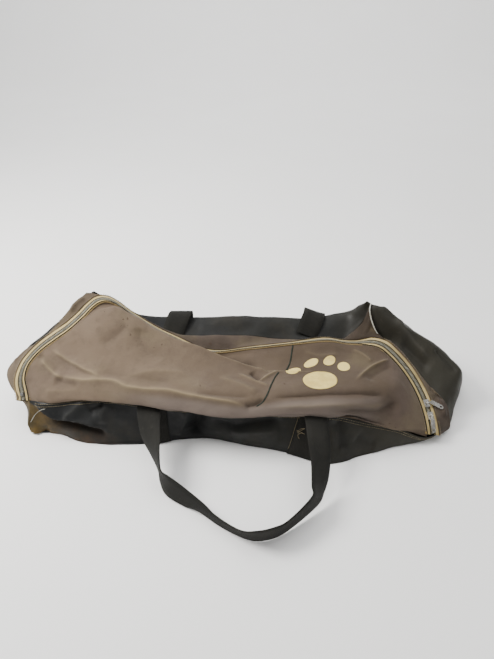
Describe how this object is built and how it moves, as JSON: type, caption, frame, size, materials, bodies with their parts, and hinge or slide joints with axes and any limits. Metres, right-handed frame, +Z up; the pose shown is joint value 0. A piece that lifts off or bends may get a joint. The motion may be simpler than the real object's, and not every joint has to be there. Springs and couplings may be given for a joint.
{
  "type": "equipment carry bag",
  "caption": "Long soft carry bag for training poles, with a zipped canvas lid, a dark coated tub and webbing handle loops.",
  "frame": {"origin": "on the floor, under the middle of the object's box", "axes": "+X along the bag towards the zip sliders, +Y from the front to the back, +Z up from the floor"},
  "size_m": [1.0113, 0.5695, 0.2132],
  "materials": {
    "coated_nylon": "charcoal coated nylon cloth, semi-matt, dusty and stained at the left",
    "canvas": "faded taupe cotton-polyester canvas, matt",
    "webbing": "charcoal polypropylene webbing, ribbed",
    "zip_tape": "cream woven zip tape",
    "zip_teeth": "cream-grey moulded coil teeth",
    "nickel": "bright nickel plate",
    "piping": "light grey piping cord cover",
    "print": "cream screen print"
  },
  "bodies": {
    "bag_body": {"base_panel": "coated_nylon", "front_wall": "coated_nylon", "back_wall": "coated_nylon", "left_end_wall": "coated_nylon", "right_end_wall": "coated_nylon", "front_fold": "canvas", "left_end_band": "canvas", "back_band": "canvas", "right_end_band": "canvas", "band_tape": "zip_tape", "band_teeth": "zip_teeth", "fold_tape": "zip_tape", "fold_teeth": "zip_teeth", "end_stops": "nickel", "left_piping": "piping", "right_piping": "piping", "front_strap_left": "webbing", "front_strap_right": "webbing", "rear_strap_left": "webbing", "rear_strap_right": "webbing"},
    "lid": {"lid_panel": "canvas", "lid_tape": "zip_tape", "lid_teeth": "zip_teeth", "printed_mark": "print"},
    "front_handle": {"front_handle": "webbing"},
    "rear_handle": {"rear_handle": "webbing"},
    "upper_slider": {"upper_slider": "nickel"},
    "upper_puller": {"upper_puller": "nickel"},
    "lower_slider": {"lower_slider": "nickel"},
    "lower_puller": {"lower_puller": "nickel"}
  },
  "joints": [
    {"name": "lid_open", "type": "hinge", "parent": "bag_body", "child": "lid", "pos_m": [-0.0474, -0.0675, 0.119], "axis": [1, 0, 0], "range_deg": [0, 100]},
    {"name": "front_handle_lift", "type": "hinge", "parent": "bag_body", "child": "front_handle", "pos_m": [-0.0264, -0.0725, 0.086], "axis": [0.9973, -0.073, 0], "range_deg": [-90, 0]},
    {"name": "rear_handle_lift", "type": "hinge", "parent": "bag_body", "child": "rear_handle", "pos_m": [-0.0119, 0.1555, 0.12], "axis": [1, -0.0066, -0.0066], "range_deg": [0, 100]},
    {"name": "upper_slider_travel", "type": "hinge", "parent": "bag_body", "child": "upper_slider", "pos_m": [0.1496, -0.0755, 0.068], "axis": [0.18, -0.4399, 0.8798], "range_deg": [0, 24]},
    {"name": "lower_slider_travel", "type": "hinge", "parent": "bag_body", "child": "lower_slider", "pos_m": [0.1496, -0.0755, 0.068], "axis": [0.18, -0.4399, 0.8798], "range_deg": [-5, 0]},
    {"name": "upper_puller_flip", "type": "hinge", "parent": "upper_slider", "child": "upper_puller", "pos_m": [0.37382, -0.01609, 0.0598], "axis": [0.2097, -0.8567, -0.4713], "range_deg": [0, 100]},
    {"name": "lower_puller_flip", "type": "hinge", "parent": "lower_slider", "child": "lower_puller", "pos_m": [0.3779, -0.039, 0.04751], "axis": [-0.9786, -0.1706, 0.1149], "range_deg": [0, 90]}
  ]
}
